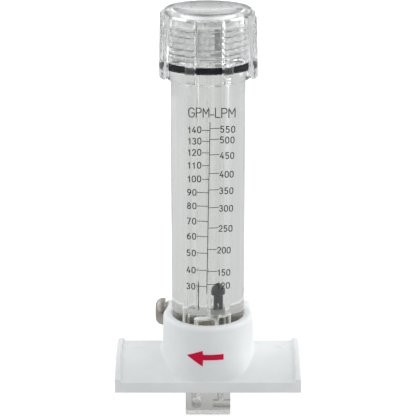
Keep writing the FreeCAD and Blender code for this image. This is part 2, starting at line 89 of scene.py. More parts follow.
def recalc(o):
    bm = bmesh.new()
    bm.from_mesh(o.data)
    bmesh.ops.recalc_face_normals(bm, faces=bm.faces)
    bm.to_mesh(o.data)
    bm.free()
    o.data.update()


def lathe(name, prof, seg=256, radius=None, axis_xy=(0.0, 0.0), closed_loop=False):
    """Revolve (r, z) points about a vertical axis. radius(theta, r, z) may bend the
    rows into a thread. A profile that starts and ends on the axis is closed there;
    a closed loop makes a ring."""
    th = np.arange(seg) * 2 * math.pi / seg
    pts = [tuple(p) for p in prof]
    verts, faces, rings = [], [], []
    for r, z in pts:
        if r < 1e-9:
            rings.append([len(verts)])
            verts.append((axis_xy[0], axis_xy[1], z))
            continue
        rr = radius(th, r, z) if radius else np.full(seg, r)
        base = len(verts)
        verts += [(axis_xy[0] + rr[i] * math.cos(th[i]), axis_xy[1] + rr[i] * math.sin(th[i]), z)
                  for i in range(seg)]
        rings.append(list(range(base, base + seg)))
    m = len(rings)
    for k in range(m if closed_loop else m - 1):
        a, b = rings[k], rings[(k + 1) % m]
        if len(a) == 1 and len(b) == 1:
            continue
        for i in range(seg):
            j = (i + 1) % seg
            if len(a) == 1:
                faces.append((a[0], b[i], b[j]))
            elif len(b) == 1:
                faces.append((a[i], b[0], a[j]))
            else:
                faces.append((a[i], b[i], b[j], a[j]))
    o = link(name, verts, faces, smooth=False)
    recalc(o)
    return o


def boolean(o, tool, op, keep_tool=False, solver="EXACT"):
    m = o.modifiers.new("b", "BOOLEAN")
    m.operation = op
    m.solver = solver
    m.object = tool
    dg = bpy.context.evaluated_depsgraph_get()
    me = bpy.data.meshes.new_from_object(o.evaluated_get(dg))
    o.modifiers.clear()
    old = o.data
    o.data = me
    bpy.data.meshes.remove(old)
    if not keep_tool:
        bpy.data.objects.remove(tool)
    return o


def copy_cad(node, name):
    """A welded copy of a CAD node's mesh, without its stored normals."""
    me0 = N[node].data
    co = np.empty(len(me0.vertices) * 3)
    me0.vertices.foreach_get("co", co)
    co = co.reshape(-1, 3)
    key = np.round(co / 2e-7).astype(np.int64)
    _, first, inv = np.unique(key, axis=0, return_index=True, return_inverse=True)
    inv = np.asarray(inv).reshape(-1)
    faces = []
    for p in me0.polygons:
        f = [int(inv[v]) for v in p.vertices]
        if len(set(f)) == len(f):
            faces.append(f)
    me = bpy.data.meshes.new(name)
    me.from_pydata([tuple(co[i]) for i in first], [], faces)
    me.validate()
    me.update()
    o = bpy.data.objects.new(name, me)
    bpy.context.scene.collection.objects.link(o)
    recalc(o)
    return o


def clean(o, dist=2e-7):
    bm = bmesh.new()
    bm.from_mesh(o.data)
    bmesh.ops.remove_doubles(bm, verts=bm.verts, dist=dist)
    bmesh.ops.dissolve_degenerate(bm, edges=bm.edges, dist=1e-7)
    bm.to_mesh(o.data)
    bm.free()
    o.data.update()


def smoothstep(a, b, x):
    t = np.clip((x - a) / (b - a), 0, 1)
    return t * t * (3 - 2 * t)


def thread_shape(th, z, pitch, z0, width=0.42, soft=0.16):
    """0 in the groove, 1 on the crest; right-handed about +Z."""
    p = ((z - z0) / pitch - th / (2 * math.pi)) % 1.0
    d = np.abs(p - 0.5)
    return 1.0 - smoothstep(width / 2 - soft / 2 + 0.02, width / 2 + soft + 0.02, d)


# ================================================================ materials
def mat(name):
    m = bpy.data.materials.new(name)
    m.use_nodes = True
    nt = m.node_tree
    b = nt.nodes["Principled BSDF"]
    return m, nt, b


def lin(r, g, b):
    """sRGB 0-255 to linear."""
    def f(c):
        c = c / 255.0
        return c / 12.92 if c <= 0.04045 else ((c + 0.055) / 1.055) ** 2.4
    return (f(r), f(g), f(b), 1.0)


def obj_coords(nt, scale=(1, 1, 1)):
    tc = nt.nodes.new("ShaderNodeTexCoord")
    mp = nt.nodes.new("ShaderNodeMapping")
    mp.inputs["Scale"].default_value = scale
    nt.links.new(tc.outputs["Object"], mp.inputs["Vector"])
    return mp.outputs["Vector"]


def noise(nt, vec, scale, detail=3.0, rough=0.5):
    n = nt.nodes.new("ShaderNodeTexNoise")
    n.inputs["Scale"].default_value = scale
    n.inputs["Detail"].default_value = detail
    n.inputs["Roughness"].default_value = rough
    nt.links.new(vec, n.inputs["Vector"])
    return n.outputs["Fac"]


def ramp(nt, fac, stops):
    r = nt.nodes.new("ShaderNodeValToRGB")
    e = r.color_ramp.elements
    while len(e) < len(stops):
        e.new(0.5)
    for el, (p, c) in zip(e, stops):
        el.position = p
        el.color = c
    nt.links.new(fac, r.inputs["Fac"])
    return r.outputs["Color"]


def bump(nt, height, strength, dist, normal=None):
    b = nt.nodes.new("ShaderNodeBump")
    b.inputs["Strength"].default_value = strength
    b.inputs["Distance"].default_value = dist
    nt.links.new(height, b.inputs["Height"])
    if normal is not None:
        nt.links.new(normal, b.inputs["Normal"])
    return b.outputs["Normal"]


def plastic(name, lo, hi, rough=(0.36, 0.46), grain=900.0, grain_strength=0.10):
    m, nt, b = mat(name)
    v = obj_coords(nt)
    big = noise(nt, v, 60.0, 3.0)
    nt.links.new(ramp(nt, big, [(0.35, lin(*lo)), (0.65, lin(*hi))]), b.inputs["Base Color"])
    fine = noise(nt, v, grain, 4.0, 0.6)
    rr = ramp(nt, noise(nt, v, 220.0, 3.0), [(0.3, (rough[0],) * 3 + (1,)), (0.7, (rough[1],) * 3 + (1,))])
    nt.links.new(rr, b.inputs["Roughness"])
    wav = noise(nt, v, 90.0, 2.0)
    n1 = bump(nt, wav, 0.12, 0.0004)
    nt.links.new(bump(nt, fine, grain_strength, 0.00012, n1), b.inputs["Normal"])
    return m, nt, b


def clear(name, tint_lo, tint_hi, absorb=(0.5, 0.5, 0.5), density=30.0, ior=1.49, rough=0.0,
          streak=(40.0, 40.0, 3.0), wave=0.05, depth=0.0002, grain=None):
    """Clear moulded or machined plastic: transmission with a faint tint in its depth
    and drawn-out, very shallow waves in the surface."""
    m, nt, b = mat(name)
    va = nt.nodes.new("ShaderNodeVolumeAbsorption")
    va.inputs["Color"].default_value = tuple(absorb) + (1.0,)
    va.inputs["Density"].default_value = density
    nt.links.new(va.outputs["Volume"], nt.nodes["Material Output"].inputs["Volume"])
    b.inputs["Transmission Weight"].default_value = 1.0
    b.inputs["IOR"].default_value = ior
    v = obj_coords(nt)
    # grain: draw lines that run the length of a bar
    big = noise(nt, obj_coords(nt, grain), 4.0, 3.0, 0.6) if grain else noise(nt, v, 35.0, 2.0)
    nt.links.new(ramp(nt, big, [(0.36, lin(*tint_lo)), (0.62, lin(*tint_hi))]), b.inputs["Base Color"])
    b.inputs["Roughness"].default_value = rough
    vs = obj_coords(nt, streak)
    n1 = bump(nt, noise(nt, vs, 6.0, 2.0), wave, depth)
    nt.links.new(n1, b.inputs["Normal"])
    return m, nt, b


def painted_socket_glow(nt, b, strength):
    """Painted glow: near-white emission on the socket's inner wall and in the cross bore, standing in for the light
    that reaches them through the translucent white wall.
    """
    tc = nt.nodes.new("ShaderNodeTexCoord")
    parts = []
    for centre, axes, r0 in (((0, 0, 0), (1, 1, 0), 0.01600), ((0, SCREW_Y * S, (SCREW_Z + DZ) * S), (0, 1, 1), 0.00330)):
        sub = nt.nodes.new("ShaderNodeVectorMath")
        sub.operation = "SUBTRACT"
        nt.links.new(tc.outputs["Object"], sub.inputs[0])
        sub.inputs[1].default_value = centre
        mul = nt.nodes.new("ShaderNodeVectorMath")
        mul.operation = "MULTIPLY"
        nt.links.new(sub.outputs["Vector"], mul.inputs[0])
        mul.inputs[1].default_value = axes
        ln = nt.nodes.new("ShaderNodeVectorMath")
        ln.operation = "LENGTH"
        nt.links.new(mul.outputs["Vector"], ln.inputs[0])
        r = nt.nodes.new("ShaderNodeMapRange")
        r.inputs["From Min"].default_value = r0
        r.inputs["From Max"].default_value = r0 + 0.00006
        r.inputs["To Min"].default_value = strength
        r.inputs["To Max"].default_value = 0.0
        nt.links.new(ln.outputs["Value"], r.inputs["Value"])
        parts.append(r.outputs["Result"])
    mx = nt.nodes.new("ShaderNodeMath")
    mx.operation = "MAXIMUM"
    nt.links.new(parts[0], mx.inputs[0])
    nt.links.new(parts[1], mx.inputs[1])
    # painted glow: near-white emission, at full strength inside the socket and the cross bore and off elsewhere
    b.inputs["Emission Color"].default_value = (1.0, 1.0, 0.97, 1.0)
    nt.links.new(mx.outputs[0], b.inputs["Emission Strength"])


def metal(name, lo, hi, rough, brush=(1, 1, 1), bscale=400.0, bstrength=0.15):
    m, nt, b = mat(name)
    b.inputs["Metallic"].default_value = 1.0
    v = obj_coords(nt, brush)
    f = noise(nt, v, bscale, 4.0, 0.6)
    nt.links.new(ramp(nt, f, [(0.3, lin(*lo)), (0.7, lin(*hi))]), b.inputs["Base Color"])
    rr = ramp(nt, noise(nt, obj_coords(nt), 250.0, 3.0), [(0.3, (rough[0],) * 3 + (1,)), (0.7, (rough[1],) * 3 + (1,))])
    nt.links.new(rr, b.inputs["Roughness"])
    nt.links.new(bump(nt, f, bstrength, 0.0001), b.inputs["Normal"])
    return m, nt, b


def rubber(name, lo, hi, rough=(0.38, 0.55)):
    m, nt, b = mat(name)
    v = obj_coords(nt)
    nt.links.new(ramp(nt, noise(nt, v, 300.0, 4.0), [(0.3, lin(*lo)), (0.7, lin(*hi))]), b.inputs["Base Color"])
    nt.links.new(ramp(nt, noise(nt, v, 500.0, 3.0), [(0.3, (rough[0],) * 3 + (1,)), (0.7, (rough[1],) * 3 + (1,))]),
                 b.inputs["Roughness"])
    nt.links.new(bump(nt, noise(nt, v, 1500.0, 3.0), 0.2, 0.0001), b.inputs["Normal"])
    return m, nt, b


M_WHITE, _nt, _b = plastic("white_plastic", (238, 240, 240), (244, 246, 246))
_b.inputs["Subsurface Weight"].default_value = 0.35
_b.inputs["Subsurface Scale"].default_value = 0.0025
_b.inputs["Subsurface Radius"].default_value = (1.0, 0.95, 0.9)
# painted glow: the white plastic emits light inside the socket and the cross bore
painted_socket_glow(_nt, _b, 0.26)
M_BODY = clear("clear_acrylic", (243, 244, 241), (255, 255, 255), (0.50, 0.52, 0.50), 2.0, wave=0.30,
               streak=(60.0, 60.0, 2.0), grain=(120.0, 120.0, 1.0))[0]
M_DRILLED = clear("clear_acrylic_drilled", (252, 252, 252), (255, 255, 255), (0.50, 0.52, 0.50), 4.0, rough=0.45,
                  wave=0.05)[0]
M_CAP, _nt, _b = clear("cap_clear", (252, 252, 252), (255, 255, 255), (0.5, 0.51, 0.49), 1.0, rough=0.05, wave=0.03,
                       streak=(25.0, 25.0, 25.0))
_b.inputs["Transmission Weight"].default_value = 0.96
M_STEM, _nt, _b = clear("stem_clear", (250, 250, 246), (255, 255, 253), (0.5, 0.5, 0.44), 20.0, rough=0.26, wave=0.06,
                        streak=(20.0, 20.0, 20.0))
_b.inputs["Transmission Weight"].default_value = 0.93
M_RUBBER, _nt, _b = rubber("black_rubber", (10, 17, 21), (17, 26, 31), (0.5, 0.65))
_b.inputs["Specular IOR Level"].default_value = 0.3
M_GASKET = rubber("gasket_rubber", (28, 28, 29), (44, 44, 44), (0.55, 0.75))[0]
M_STEEL = metal("stainless", (150, 143, 136), (178, 172, 165), (0.14, 0.22))[0]
M_BRASS = metal("brass", (148, 138, 108), (176, 166, 136), (0.30, 0.42))[0]
M_FLOAT = plastic("float_grey", (54, 57, 59), (68, 71, 73), (0.35, 0.5))[0]
M_SEAT = plastic("seat_plastic", (196, 198, 196), (212, 214, 212), (0.35, 0.5))[0]
M_INK = plastic("scale_ink", (22, 22, 20), (34, 33, 30), (0.5, 0.6))[0]
M_RED, _nt, _b = plastic("arrow_red", (214, 4, 58), (222, 10, 64), (0.45, 0.55))
_b.inputs["Specular IOR Level"].default_value = 0.15


def dress(o, m):
    o.data.materials.clear()
    o.data.materials.append(m)


# ================================================================ clear body
def neck_radius(th, r, z):
    if z < FLANGE_Z1 + 2.2 or z > NECK_TOP - 0.2 or r > NECK_R + 1e-6 or r < NECK_ROOT - 1e-6:
        return np.full(len(th), r)
    fade = smoothstep(FLANGE_Z1 + 2.4, FLANGE_Z1 + 3.6, z) * (1 - smoothstep(NECK_TOP - 1.2, NECK_TOP - 0.3, z) * 0.6)
    h = thread_shape(th, z, PITCH, NECK_TOP - 1.1)
    return NECK_ROOT + (NECK_R - 0.06 - NECK_ROOT) * h * fade


def make_body():
    ft = FLANGE_Z0 + 1.0
    prof = [(0, BODY_Z0), (BODY_R - 0.3, BODY_Z0), (BODY_R - 0.09, BODY_Z0 + 0.09), (BODY_R, BODY_Z0 + 0.3),
            (BODY_R, 20.0), (BODY_R, 60.0), (BODY_R, 100.0), (BODY_R, FLANGE_Z0 - 0.35)]
    # small blend into the chamfered underside of the flange
    for a in (20, 45, 70):
        t = math.radians(a)
        prof.append((BODY_R + 0.35 * (1 - math.cos(t)), FLANGE_Z0 - 0.35 + 0.35 * math.sin(t)))
    prof.append((BODY_R + 0.5, FLANGE_Z0 + 0.12))
    prof.append((FLANGE_R - 0.5, ft - 0.15))
    for a in (-30, 0, 30, 60):
        pass
    for a in (15, 35, 55, 75, 90):
        t = math.radians(a)
        prof.append((FLANGE_R - 0.5 + 0.5 * math.sin(t), ft + 0.35 - 0.5 * math.cos(t)))
    prof += [(FLANGE_R, FLANGE_Z1 - 0.4)]
    for a in (30, 60, 90):
        t = math.radians(a)
        prof.append((FLANGE_R - 0.4 + 0.4 * math.cos(t), FLANGE_Z1 - 0.4 + 0.4 * math.sin(t)))
    prof += [(NECK_RELIEF + 0.4, FLANGE_Z1), (NECK_RELIEF + 0.1, FLANGE_Z1 + 0.1), (NECK_RELIEF, FLANGE_Z1 + 0.4),
             (NECK_RELIEF, FLANGE_Z1 + 2.0)]
    z = FLANGE_Z1 + 2.2
    rows = int((NECK_TOP - 0.3 - z) / 0.13)
    for i in range(rows + 1):
        zz = z + (NECK_TOP - 0.3 - z) * i / rows
        prof.append((NECK_ROOT, zz))
    prof += [(NECK_ROOT - 0.25, NECK_TOP - 0.05), (NECK_ROOT - 0.45, NECK_TOP), (0, NECK_TOP)]
    o = lathe("meter_body_clear", prof, 240, neck_radius)
    top = NECK_TOP + 1
    k = (BORE_R1 - BORE_R0) / (NECK_TOP + 1 - BORE_Z0)
    bore = lathe("t1", [(0, BORE_Z0), (BORE_R0, BORE_Z0)] + [(BORE_R0 + k * (zz - BORE_Z0), zz) for zz in
                 (30, 45, 60, 75, 90, 105, 120, 135, top)] + [(0, top)], 144, axis_xy=(BORE_X, 0))
    boolean(o, bore, "DIFFERENCE")
    boolean(o, lathe("t2", [(0, NECK_TOP - STOP_T), (STOP_R, NECK_TOP - STOP_T), (STOP_R, top), (0, top)], 128,
                     axis_xy=(BORE_X, 0)), "DIFFERENCE")
    boolean(o, lathe("t3", [(0, RETURN_Z0 - 0.5), (RETURN_R, RETURN_Z0), (RETURN_R, 60), (RETURN_R, 100), (RETURN_R, top), (0, top)],
                     96, axis_xy=(RETURN_X, 0)), "DIFFERENCE")
    boolean(o, lathe("t4", [(0, 5), (IMPACT_R, 5), (IMPACT_R, BORE_Z0 + 0.5), (0, BORE_Z0 + 0.5)], 48,
                     axis_xy=(IMPACT_X, 0)), "DIFFERENCE")
    boolean(o, lathe("t5", [(0, 5), (STATIC_R, 5), (STATIC_R, RETURN_Z0 + 0.5), (0, RETURN_Z0 + 0.5)], 48,
                     axis_xy=(STATIC_X, 0)), "DIFFERENCE")
    boolean(o, lathe("t6", [(0, 5), (INSERT_R, 5), (INSERT_R, INSERT_TOP - 0.35), (INSERT_R - 0.35, INSERT_TOP), (0, INSERT_TOP)], 96,
                     axis_xy=(INSERT_X, 0)), "DIFFERENCE")
    g = lathe("t7", [(0, -30), (GROOVE_R, -30), (GROOVE_R, 30), (0, 30)], 96)
    g.data.transform(Matrix.Rotation(math.radians(90), 4, "Y"))
    g.data.transform(Matrix.Translation((0, SCREW_Y * S, (SCREW_Z + DZ) * S)))
    boolean(o, g, "DIFFERENCE")
    clean(o)
    shade(o)
    dress(o, M_BODY)
    # the end of the insert's blind hole and the notch for the cross screw keep a drilled finish
    o.data.materials.append(M_DRILLED)
    for poly in o.data.polygons:
        c = poly.center / S
        z = c.z - DZ
        in_hole = math.hypot(c.x - INSERT_X, c.y) < INSERT_R + 0.05 and INSERT_TOP - 0.4 < z < INSERT_TOP + 0.05
        in_notch = math.hypot(c.y - SCREW_Y, z - SCREW_Z) < GROOVE_R + 0.05 and math.hypot(c.x, c.y) < BODY_R - 0.02
        if in_hole or in_notch:
            poly.material_index = 1
    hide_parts("meter_body")
    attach(o, "housing")
    return o


# ================================================================ cap
def cap_thread_tool():
    """Helical tap for the cap's bore."""
    z0, z1 = CAP_Z0 + 0.9, CAP_CEIL - 1.3
    def rad(th, r, z):
        if r < 14:
            return np.full(len(th), r)
        fade = smoothstep(z0 - 0.2, z0 + 1.6, z) * (1 - smoothstep(z1 - 2.2, z1 - 0.6, z))
        # the cap's grooves face the crests of the neck
        h = thread_shape(th, z, PITCH, NECK_TOP - 1.1, width=0.5, soft=0.28)
        return CAP_BORE - 0.12 + (CAP_ROOT - CAP_BORE + 0.12) * h * fade
    rows = int((z1 - z0) / 0.13)
    prof = [(0, z0)] + [(15.0, z0 + (z1 - z0) * i / rows) for i in range(rows + 1)] + [(0, z1)]
    return lathe("tap", prof, 200, rad)


def make_cap():
    o = copy_cad("screw_cap", "screw_cap_clear")
    boolean(o, cap_thread_tool(), "DIFFERENCE")
    clean(o)
    shade(o, math.radians(34))
    dress(o, M_CAP)
    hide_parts("screw_cap")
    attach(o, "cap_body")
    return o


def make_seal():
    """The cap's O-ring, with its round section."""
    prof = []
    for i in range(28):
        t = 2 * math.pi * i / 28
        prof.append((17.35 + 1.62 * math.cos(t), 129.1 + 1.36 * math.sin(t)))
    o = lathe("cap_seal_ring", prof, 240, closed_loop=True)
    shade(o)
    dress(o, M_RUBBER)
    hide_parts("cap_seal")
    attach(o, "seal_body")
    return o


# ================================================================ printed scale
def arc(cx, cy, rx, ry, a0, a1, n=9):
    return [(cx + rx * math.cos(math.radians(a0 + (a1 - a0) * i / (n - 1))),
             cy + ry * math.sin(math.radians(a0 + (a1 - a0) * i / (n - 1)))) for i in range(n)]


# strokes in a box 1 high; (width, [polylines])
GLYPH = {
    "0": (0.58, [arc(0.29, 0.70, 0.29, 0.30, 0, 180) + arc(0.29, 0.30, 0.29, 0.30, 180, 360) + [(0.58, 0.70)]]),
    "1": (0.36, [[(0.02, 0.72), (0.24, 1.0), (0.24, 0.0)]]),
    "2": (0.56, [arc(0.28, 0.71, 0.27, 0.29, 165, -35, 10) + [(0.0, 0.0), (0.57, 0.0)]]),
    "3": (0.56, [arc(0.26, 0.76, 0.25, 0.24, 155, -80, 10) + arc(0.26, 0.27, 0.29, 0.27, 80, -150, 11)]),
    "4": (0.60, [[(0.36, 1.0), (0.0, 0.27), (0.60, 0.27)], [(0.44, 0.52), (0.44, 0.0)]]),
    "5": (0.56, [[(0.52, 1.0), (0.08, 1.0), (0.04, 0.55)] + arc(0.27, 0.31, 0.29, 0.31, 125, -145, 12)]),
    "6": (0.56, [[(0.46, 1.0), (0.30, 0.92)] + arc(0.29, 0.31, 0.29, 0.50, 128, 180, 5)
                 + arc(0.29, 0.29, 0.28, 0.29, 180, 360, 9) + arc(0.29, 0.31, 0.28, 0.27, 0, 150, 8)]),
    "7": (0.56, [[(0.0, 1.0), (0.56, 1.0), (0.17, 0.0)]]),
    "8": (0.56, [arc(0.28, 0.76, 0.24, 0.24, 0, 360, 15), arc(0.28, 0.27, 0.28, 0.27, 0, 360, 15)]),
    "9": (0.56, [[(0.10, 0.0), (0.26, 0.08)] + arc(0.27, 0.69, 0.29, 0.50, -52, 0, 5)
                 + arc(0.27, 0.71, 0.28, 0.29, 0, 180, 9) + arc(0.27, 0.69, 0.28, 0.27, 180, 330, 8)]),
    "G": (0.64, [arc(0.32, 0.68, 0.32, 0.32, 25, 180, 8) + arc(0.32, 0.32, 0.32, 0.32, 180, 350, 9)
                 + [(0.64, 0.46), (0.36, 0.46)]]),
    "P": (0.56, [[(0.0, 0.0), (0.0, 1.0), (0.32, 1.0)] + arc(0.32, 0.74, 0.24, 0.26, 80, -80, 9) + [(0.0, 0.48)]]),
    "M": (0.66, [[(0.0, 0.0), (0.0, 1.0), (0.33, 0.36), (0.66, 1.0), (0.66, 0.0)]]),
    "L": (0.48, [[(0.0, 1.0), (0.0, 0.0), (0.48, 0.0)]]),
}


class Print:
    """Thin ribbons laid on a cylinder's front; (x, z) are seen square-on from -Y."""

    def __init__(self, radius, lift=0.018, sink=0.02, step=0.8):
        self.r, self.lift, self.sink, self.step = radius, lift, sink, step
        self.verts, self.faces = [], []

    def on(self, x, z, dr):
        r = self.r + dr
        a = math.asin(max(-0.999, min(0.999, x / self.r)))
        return (r * math.sin(a), -r * math.cos(a), z)

    def ribbon(self, pts, w):
        # finer points, so that a long stroke follows the cylinder
        fine = [pts[0]]
        for a, b in zip(pts, pts[1:]):
            n = max(1, int(math.hypot(b[0] - a[0], b[1] - a[1]) / self.step))
            fine += [(a[0] + (b[0] - a[0]) * i / n, a[1] + (b[1] - a[1]) * i / n) for i in range(1, n + 1)]
        p = [fine[0]]
        for q in fine[1:]:
            if math.hypot(q[0] - p[-1][0], q[1] - p[-1][1]) > 1e-4:
                p.append(q)
        closed = math.hypot(p[0][0] - p[-1][0], p[0][1] - p[-1][1]) < 1e-3
        if closed:
            p = p[:-1]
        m = len(p)
        left, right = [], []
        for i in range(m):
            if closed:
                a, b = p[i - 1], p[(i + 1) % m]
            else:
                a, b = p[max(i - 1, 0)], p[min(i + 1, m - 1)]
            d1 = np.array(p[i]) - np.array(a) if (closed or i > 0) else np.array(b) - np.array(p[i])
            d2 = np.array(b) - np.array(p[i]) if (closed or i < m - 1) else d1
            d1 = d1 / np.linalg.norm(d1)
            d2 = d2 / np.linalg.norm(d2)
            n1 = np.array([-d1[1], d1[0]])
            n2 = np.array([-d2[1], d2[0]])
            n = n1 + n2
            ln = np.linalg.norm(n)
            if ln < 0.2:
                n, k = n1, 1.0
            else:
                n = n / ln
                k = min(1.0 / max(0.35, float(n @ n1)), 1.6)
            c = np.array(p[i])
            if not closed and i == 0:
                c = c - d2 * w * 0.35
            if not closed and i == m - 1:
                c = c + d1 * w * 0.35
            left.append(c + n * k * w / 2)
            right.append(c - n * k * w / 2)
        base = len(self.verts)
        for l, r in zip(left, right):
            self.verts += [self.on(l[0], l[1], self.lift), self.on(r[0], r[1], self.lift),
                           self.on(r[0], r[1], -self.sink), self.on(l[0], l[1], -self.sink)]
        for i in range(m if closed else m - 1):
            a, b = base + 4 * i, base + 4 * ((i + 1) % m)
            for k in range(4):
                j = (k + 1) % 4
                self.faces.append((a + k, a + j, b + j, b + k))
        if not closed:
            self.faces.append((base + 3, base + 2, base + 1, base))
            e = base + 4 * (m - 1)
            self.faces.append((e, e + 1, e + 2, e + 3))

    def text(self, s, x0, x1, zc, h, w, slope=0.0):
        """Spread s between x0 and x1, centred at zc; slope lifts it towards x1."""
        narrow = 0.88 if s.isdigit() else 1.0
        widths = [GLYPH[c][0] * narrow for c in s]
        gap = (x1 - x0 - sum(widths) * h) / max(1, len(s) - 1) if len(s) > 1 else 0
        sx = 1.0
        if gap < 0.16 * h:
            sx = (x1 - x0 - 0.2 * h * (len(s) - 1)) / (sum(widths) * h)
            gap = 0.2 * h
        x = x0
        for c, wd in zip(s, widths):
            for line in GLYPH[c][1]:
                k = h * sx * narrow
                self.ribbon([(x + px * k, zc + (py - 0.5) * h + slope * (x + px * k - (x0 + x1) / 2))
                             for px, py in line], w)
            x += wd * h * sx + gap

    def build(self, name, m, body):
        o = link(name, self.verts, self.faces, smooth=False)
        recalc(o)
        dress(o, m)
        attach(o, body)
        return o


# value, text from X, to X, text centre Z, tick's outer X, tick Z
GPM_ROWS = (
    ("140", -8.36, -2.76, 103.65, -2.39, 103.66),
    ("130", -8.30, -2.73, 98.79, -2.35, 98.97),
    ("120", -8.40, -2.78, 93.89, -2.40, 93.99),
    ("110", -8.47, -2.83, 88.26, -2.45, 88.43),
    ("100", -8.53, -2.88, 82.30, -2.50, 82.44),
    ("90", -8.77, -4.87, 76.25, -4.49, 76.56),
    ("80", -8.88, -4.88, 70.26, -4.50, 70.58),
    ("70", -8.95, -5.02, 63.42, -4.64, 63.86),
    ("60", -9.03, -5.04, 56.64, -4.66, 57.01),
    ("50", -9.19, -5.19, 49.07, -4.80, 49.52),
    ("40", -9.27, -5.34, 41.31, -4.95, 41.74),
    ("30", -9.39, -5.48, 33.85, -5.10, 34.37),
)
LPM_ROWS = (
    ("550", 5.05, 11.41, 103.48, 4.89, 104.46),
    ("500", 4.98, 11.14, 98.93, 4.81, 99.77),
    ("450", 4.96, 11.04, 92.17, 4.79, 93.15),
    ("400", 4.85, 10.83, 84.02, 4.68, 84.97),
    ("350", 4.70, 10.74, 76.77, 4.53, 77.78),
    ("300", 4.63, 10.65, 68.98, 4.46, 69.96),
    ("250", 4.48, 10.44, 60.03, 4.31, 60.87),
    ("200", 3.86, 9.70, 50.36, 3.69, 51.22),
    ("150", 4.09, 9.58, 40.21, 3.92, 41.24),
    ("120", 3.93, 9.43, 34.23, 3.76, 35.26),
)
LINE_TOP = (0.85, 107.13)
LINE_BOTTOM = (-0.54, 31.06)
STROKE = 0.41
DIGIT_H = 2.62


def line_x(z):
    t = (z - LINE_BOTTOM[1]) / (LINE_TOP[1] - LINE_BOTTOM[1])
    return LINE_BOTTOM[0] + (LINE_TOP[0] - LINE_BOTTOM[0]) * t


def make_scale():
    p = Print(BODY_R)
    p.ribbon([LINE_BOTTOM, LINE_TOP], 0.30)
    for s, a, b, zc, tx, tz in GPM_ROWS:
        p.text(s, a + STROKE / 2, b - STROKE / 2, zc, DIGIT_H, STROKE, 0.115)
        p.ribbon([(tx, tz), (line_x(tz), tz)], 0.28)
    for s, a, b, zc, tx, tz in LPM_ROWS:
        p.text(s, a + STROKE / 2, b - STROKE / 2, zc, DIGIT_H, STROKE, -0.17)
        p.ribbon([(line_x(tz), tz), (tx, tz)], 0.28)
    p.text("GPM", -8.2 + STROKE / 2, 0.6 - STROKE / 2, 111.15, 3.95, STROKE, 0.06)
    p.text("LPM", 2.88 + STROKE / 2, 11.5 - STROKE / 2, 110.7, 3.95, STROKE, -0.13)
    p.ribbon([(0.95, 110.3), (2.5, 110.3)], STROKE)
    return p.build("scale_print", M_INK, "housing")


# ================================================================ arrow on the collar
def collar_surface():
    """Radius of the saddle's collar at an angle from -Y and a height, in mm."""
    o = N["saddle"]
    mw = o.matrix_world
    tree = BVHTree.FromPolygons([mw @ v.co for v in o.data.vertices], [tuple(q.vertices) for q in o.data.polygons])

    def radius(a, z):
        d = Vector((math.sin(a), -math.cos(a), 0.0))
        hit = tree.ray_cast(d * 0.05 + Vector((0, 0, (z + DZ) * S)), -d)[0]
        return math.hypot(hit.x, hit.y) / S
    return radius


ARROW = [(-9.18, 3.66), (-2.34, 6.24), (-2.12, 4.44), (6.75, 4.46), (6.75, 1.97), (-2.12, 1.95), (-2.34, -0.86)]


def make_arrow():
    """Flow arrow, a thin printed film on the front of the collar."""
    bm = bmesh.new()
    bm.faces.new([bm.verts.new((x, 0.0, z)) for x, z in ARROW])
    for i in range(-13, 10):
        geom = bm.verts[:] + bm.edges[:] + bm.faces[:]
        bmesh.ops.bisect_plane(bm, geom=geom, plane_co=(i * 0.7 + 0.03, 0, 0), plane_no=(1, 0, 0))
    for i in range(-1, 8):
        geom = bm.verts[:] + bm.edges[:] + bm.faces[:]
        bmesh.ops.bisect_plane(bm, geom=geom, plane_co=(0, 0, i * 0.85 + 0.07), plane_no=(0, 0, 1))
    geom = bmesh.ops.extrude_face_region(bm, geom=bm.faces[:])
    for v in [g for g in geom["geom"] if isinstance(g, bmesh.types.BMVert)]:
        v.co.y = 1.0
    radius = collar_surface()
    for v in bm.verts:
        a = math.asin(v.co.x / 20.3)
        a = math.asin(v.co.x / radius(a, v.co.z))
        r = radius(a, v.co.z) + (0.06 if v.co.y > 0.5 else -0.03)
        v.co = Vector((r * math.sin(a) * S, -r * math.cos(a) * S, (v.co.z + DZ) * S))
    bmesh.ops.recalc_face_normals(bm, faces=bm.faces)
    me = bpy.data.meshes.new("flow_arrow")
    bm.to_mesh(me)
    bm.free()
    o = bpy.data.objects.new("flow_arrow", me)
    bpy.context.scene.collection.objects.link(o)
    shade(o, math.radians(30))
    dress(o, M_RED)
    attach(o, "housing")


# ================================================================ threaded shanks
def thread_cutter(name, r_out, r_crest, r_root, z0, z1, pitch, seg=48, rows_per_turn=9):
    """A sleeve whose bore carries the thread; cutting it away leaves the thread."""
    n = int((z1 - z0) / pitch * rows_per_turn)
    prof = [(r_out, z0), (r_out, z1)] + [(r_crest, z1 - (z1 - z0) * i / n) for i in range(n + 1)]

    def rad(th, r, z):
        if r > r_crest + 1e-6:
            return np.full(len(th), r)
        fade = smoothstep(z0, z0 + pitch, z)
        h = thread_shape(th, z, pitch, z0, width=0.30, soft=0.26)
        return r_crest + 0.02 - (r_crest + 0.02 - r_root) * (1 - h) * fade
    return lathe(name, prof, seg, rad, closed_loop=True)


def make_screw():
    o = copy_cad("retaining_screw", "retaining_screw_threaded")
    g = thread_cutter("cut_m6", 4.2, 2.98, 2.42, -17.6, 18.6, 1.0)
    # built along +Z about the origin's axis; turned to run along +X
    g.data.transform(Matrix.Translation((0, 0, -DZ * S)))
    g.data.transform(Matrix.Rotation(math.radians(90), 4, "Y"))
    g.data.transform(Matrix.Translation((0, SCREW_Y * S, (SCREW_Z + DZ) * S)))
    boolean(o, g, "DIFFERENCE")
    clean(o)
    shade(o, math.radians(34))
    dress(o, M_STEEL)
    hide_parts("retaining_screw")
    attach(o, "housing")
    return o


